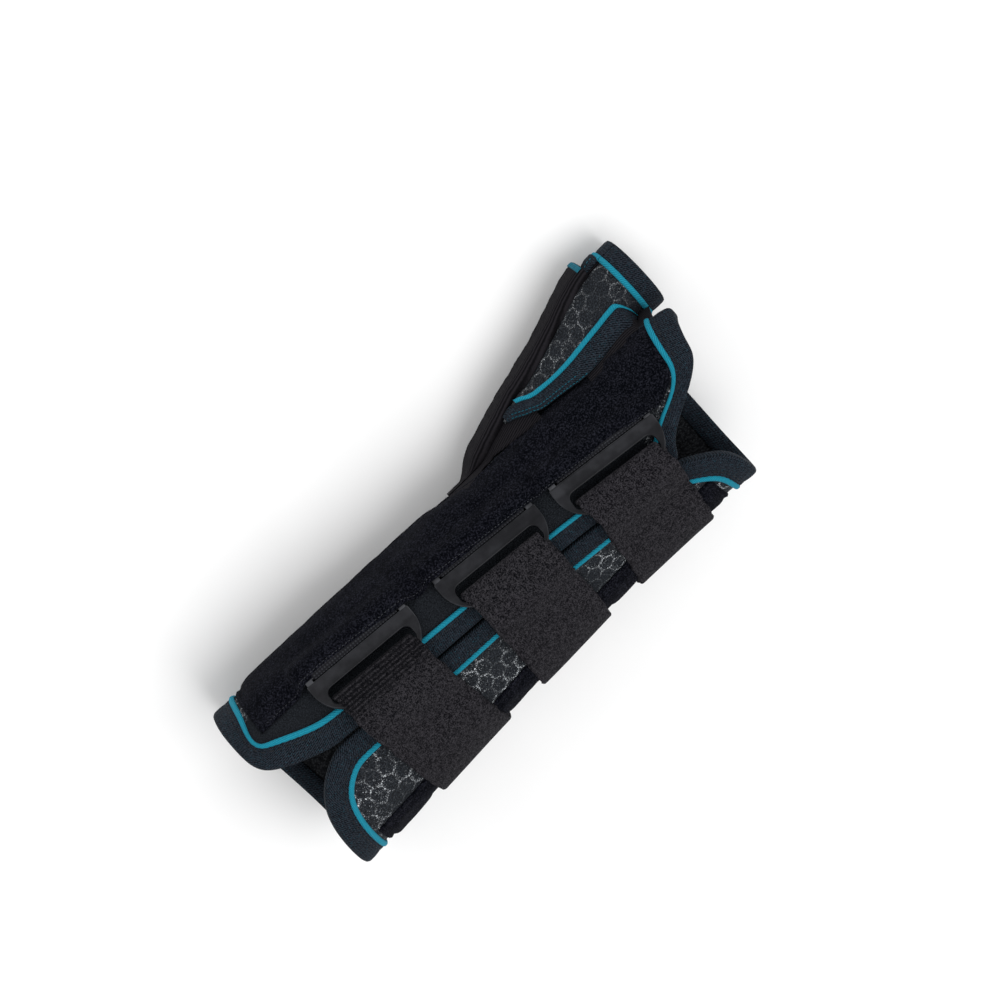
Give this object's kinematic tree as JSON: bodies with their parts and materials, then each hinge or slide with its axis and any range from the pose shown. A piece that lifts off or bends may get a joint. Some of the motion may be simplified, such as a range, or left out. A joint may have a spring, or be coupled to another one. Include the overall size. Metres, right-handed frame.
{
  "type": "wrist splint",
  "caption": "Right wrist and thumb splint: padded mesh wrap with loop panels, buckled straps, thumb sleeve and removable stays.",
  "frame": {"origin": "on the rest plane under the palmar stay pocket, below the middle of the wrist", "axes": "+X from the elbow towards the fingers, +Y towards the thumb, +Z out of the back of the hand"},
  "size_m": [0.245, 0.1149, 0.0786],
  "materials": {
    "webbing": "woven webbing",
    "buckle_plastic": "satin moulded",
    "strap_loop": "brushed loop face",
    "strap_hook": "moulded hook face",
    "teal_piping": "knitted piping",
    "pocket_cloth": "smooth knit",
    "edge_binding": "knitted tape",
    "hexagon_mesh": "spacer mesh with hexagon net",
    "foam": "open-cell foam",
    "terry_lining": "terry",
    "brushed_loop": "brushed plush",
    "stay_metal": "bare",
    "stretch_cloth": "stretch knit"
  },
  "bodies": {
    "wrap": {"inner_lining": "terry_lining", "foam_core": "foam", "outer_mesh": "hexagon_mesh", "closure_binding_radial": "edge_binding", "closure_binding_ulnar": "edge_binding", "elbow_binding": "edge_binding", "hand_binding_radial": "edge_binding", "hand_binding_ulnar": "edge_binding", "closure_piping_radial": "teal_piping", "closure_piping_ulnar": "teal_piping", "elbow_piping": "teal_piping", "hand_piping_radial": "teal_piping", "hand_piping_ulnar": "teal_piping", "radial_loop_panel": "brushed_loop", "ulnar_loop_panel": "brushed_loop", "palmar_stay_pocket": "pocket_cloth", "palmar_stay": "stay_metal", "ulnar_stay_pocket": "pocket_cloth", "thumb_gutter": "stretch_cloth", "thumb_lining": "terry_lining", "thumb_gusset": "stretch_cloth", "thumb_web_strip": "stretch_cloth", "thumb_tip_binding": "edge_binding", "thumb_tip_piping": "teal_piping", "thumb_stay_pocket": "pocket_cloth", "thumb_bartack": "teal_piping", "buckle_loop_1": "webbing", "buckle_loop_2": "webbing", "buckle_loop_3": "webbing", "strap_1_base": "strap_loop", "strap_2_base": "strap_loop", "strap_3_base": "strap_loop"},
    "thumb_flap": {"thumb_flap": "hexagon_mesh", "thumb_flap_binding": "edge_binding", "thumb_flap_piping": "teal_piping", "thumb_flap_tip_binding": "edge_binding", "thumb_flap_tip_piping": "teal_piping", "thumb_flap_hook": "strap_hook"},
    "thumb_stay": {"thumb_stay": "stay_metal"},
    "ulnar_stay": {"ulnar_stay": "stay_metal"},
    "buckle_1": {"buckle_1": "buckle_plastic", "strap_1_fold": "strap_loop"},
    "strap_1": {"strap_1_tail": "strap_loop", "strap_1_hook": "strap_hook"},
    "buckle_2": {"buckle_2": "buckle_plastic", "strap_2_fold": "strap_loop"},
    "strap_2": {"strap_2_tail": "strap_loop", "strap_2_hook": "strap_hook"},
    "buckle_3": {"buckle_3": "buckle_plastic", "strap_3_fold": "strap_loop"},
    "strap_3": {"strap_3_tail": "strap_loop", "strap_3_hook": "strap_hook"}
  },
  "joints": [
    {"name": "buckle_1_swing", "type": "hinge", "parent": "wrap", "child": "buckle_1", "pos_m": [0.05744, 0.02062, 0.05689], "axis": [-0.9931, 0.1025, -0.0563], "range_deg": [0, 40]},
    {"name": "strap_1_peel", "type": "hinge", "parent": "buckle_1", "child": "strap_1", "pos_m": [0.05477, 0.00094, 0.06821], "axis": [-0.9931, 0.1025, -0.0563], "range_deg": [0, 120]},
    {"name": "buckle_2_swing", "type": "hinge", "parent": "wrap", "child": "buckle_2", "pos_m": [-0.00027, 0.0261, 0.05578], "axis": [-0.9958, 0.091, 0.0124], "range_deg": [0, 40]},
    {"name": "strap_2_peel", "type": "hinge", "parent": "buckle_2", "child": "strap_2", "pos_m": [-0.0018, 0.00758, 0.0691], "axis": [-0.9958, 0.091, 0.0124], "range_deg": [0, 120]},
    {"name": "buckle_3_swing", "type": "hinge", "parent": "wrap", "child": "buckle_3", "pos_m": [-0.06317, 0.03266, 0.05767], "axis": [-0.9937, 0.0973, 0.0562], "range_deg": [0, 40]},
    {"name": "strap_3_peel", "type": "hinge", "parent": "buckle_3", "child": "strap_3", "pos_m": [-0.06388, 0.01626, 0.07358], "axis": [-0.9937, 0.0973, 0.0562], "range_deg": [0, 120]},
    {"name": "thumb_flap_open", "type": "hinge", "parent": "wrap", "child": "thumb_flap", "pos_m": [0.047, 0.05011, 0.02599], "axis": [-0.9731, -0.2236, 0.0552], "range_deg": [0, 70]},
    {"name": "thumb_stay_slide", "type": "slide", "parent": "wrap", "child": "thumb_stay", "axis": [0.9591, 0.2796, -0.0433], "range_m": [0, 0.08]},
    {"name": "ulnar_stay_slide", "type": "slide", "parent": "wrap", "child": "ulnar_stay", "axis": [-0.9991, -0.0355, 0.0237], "range_m": [0, 0.138]}
  ]
}
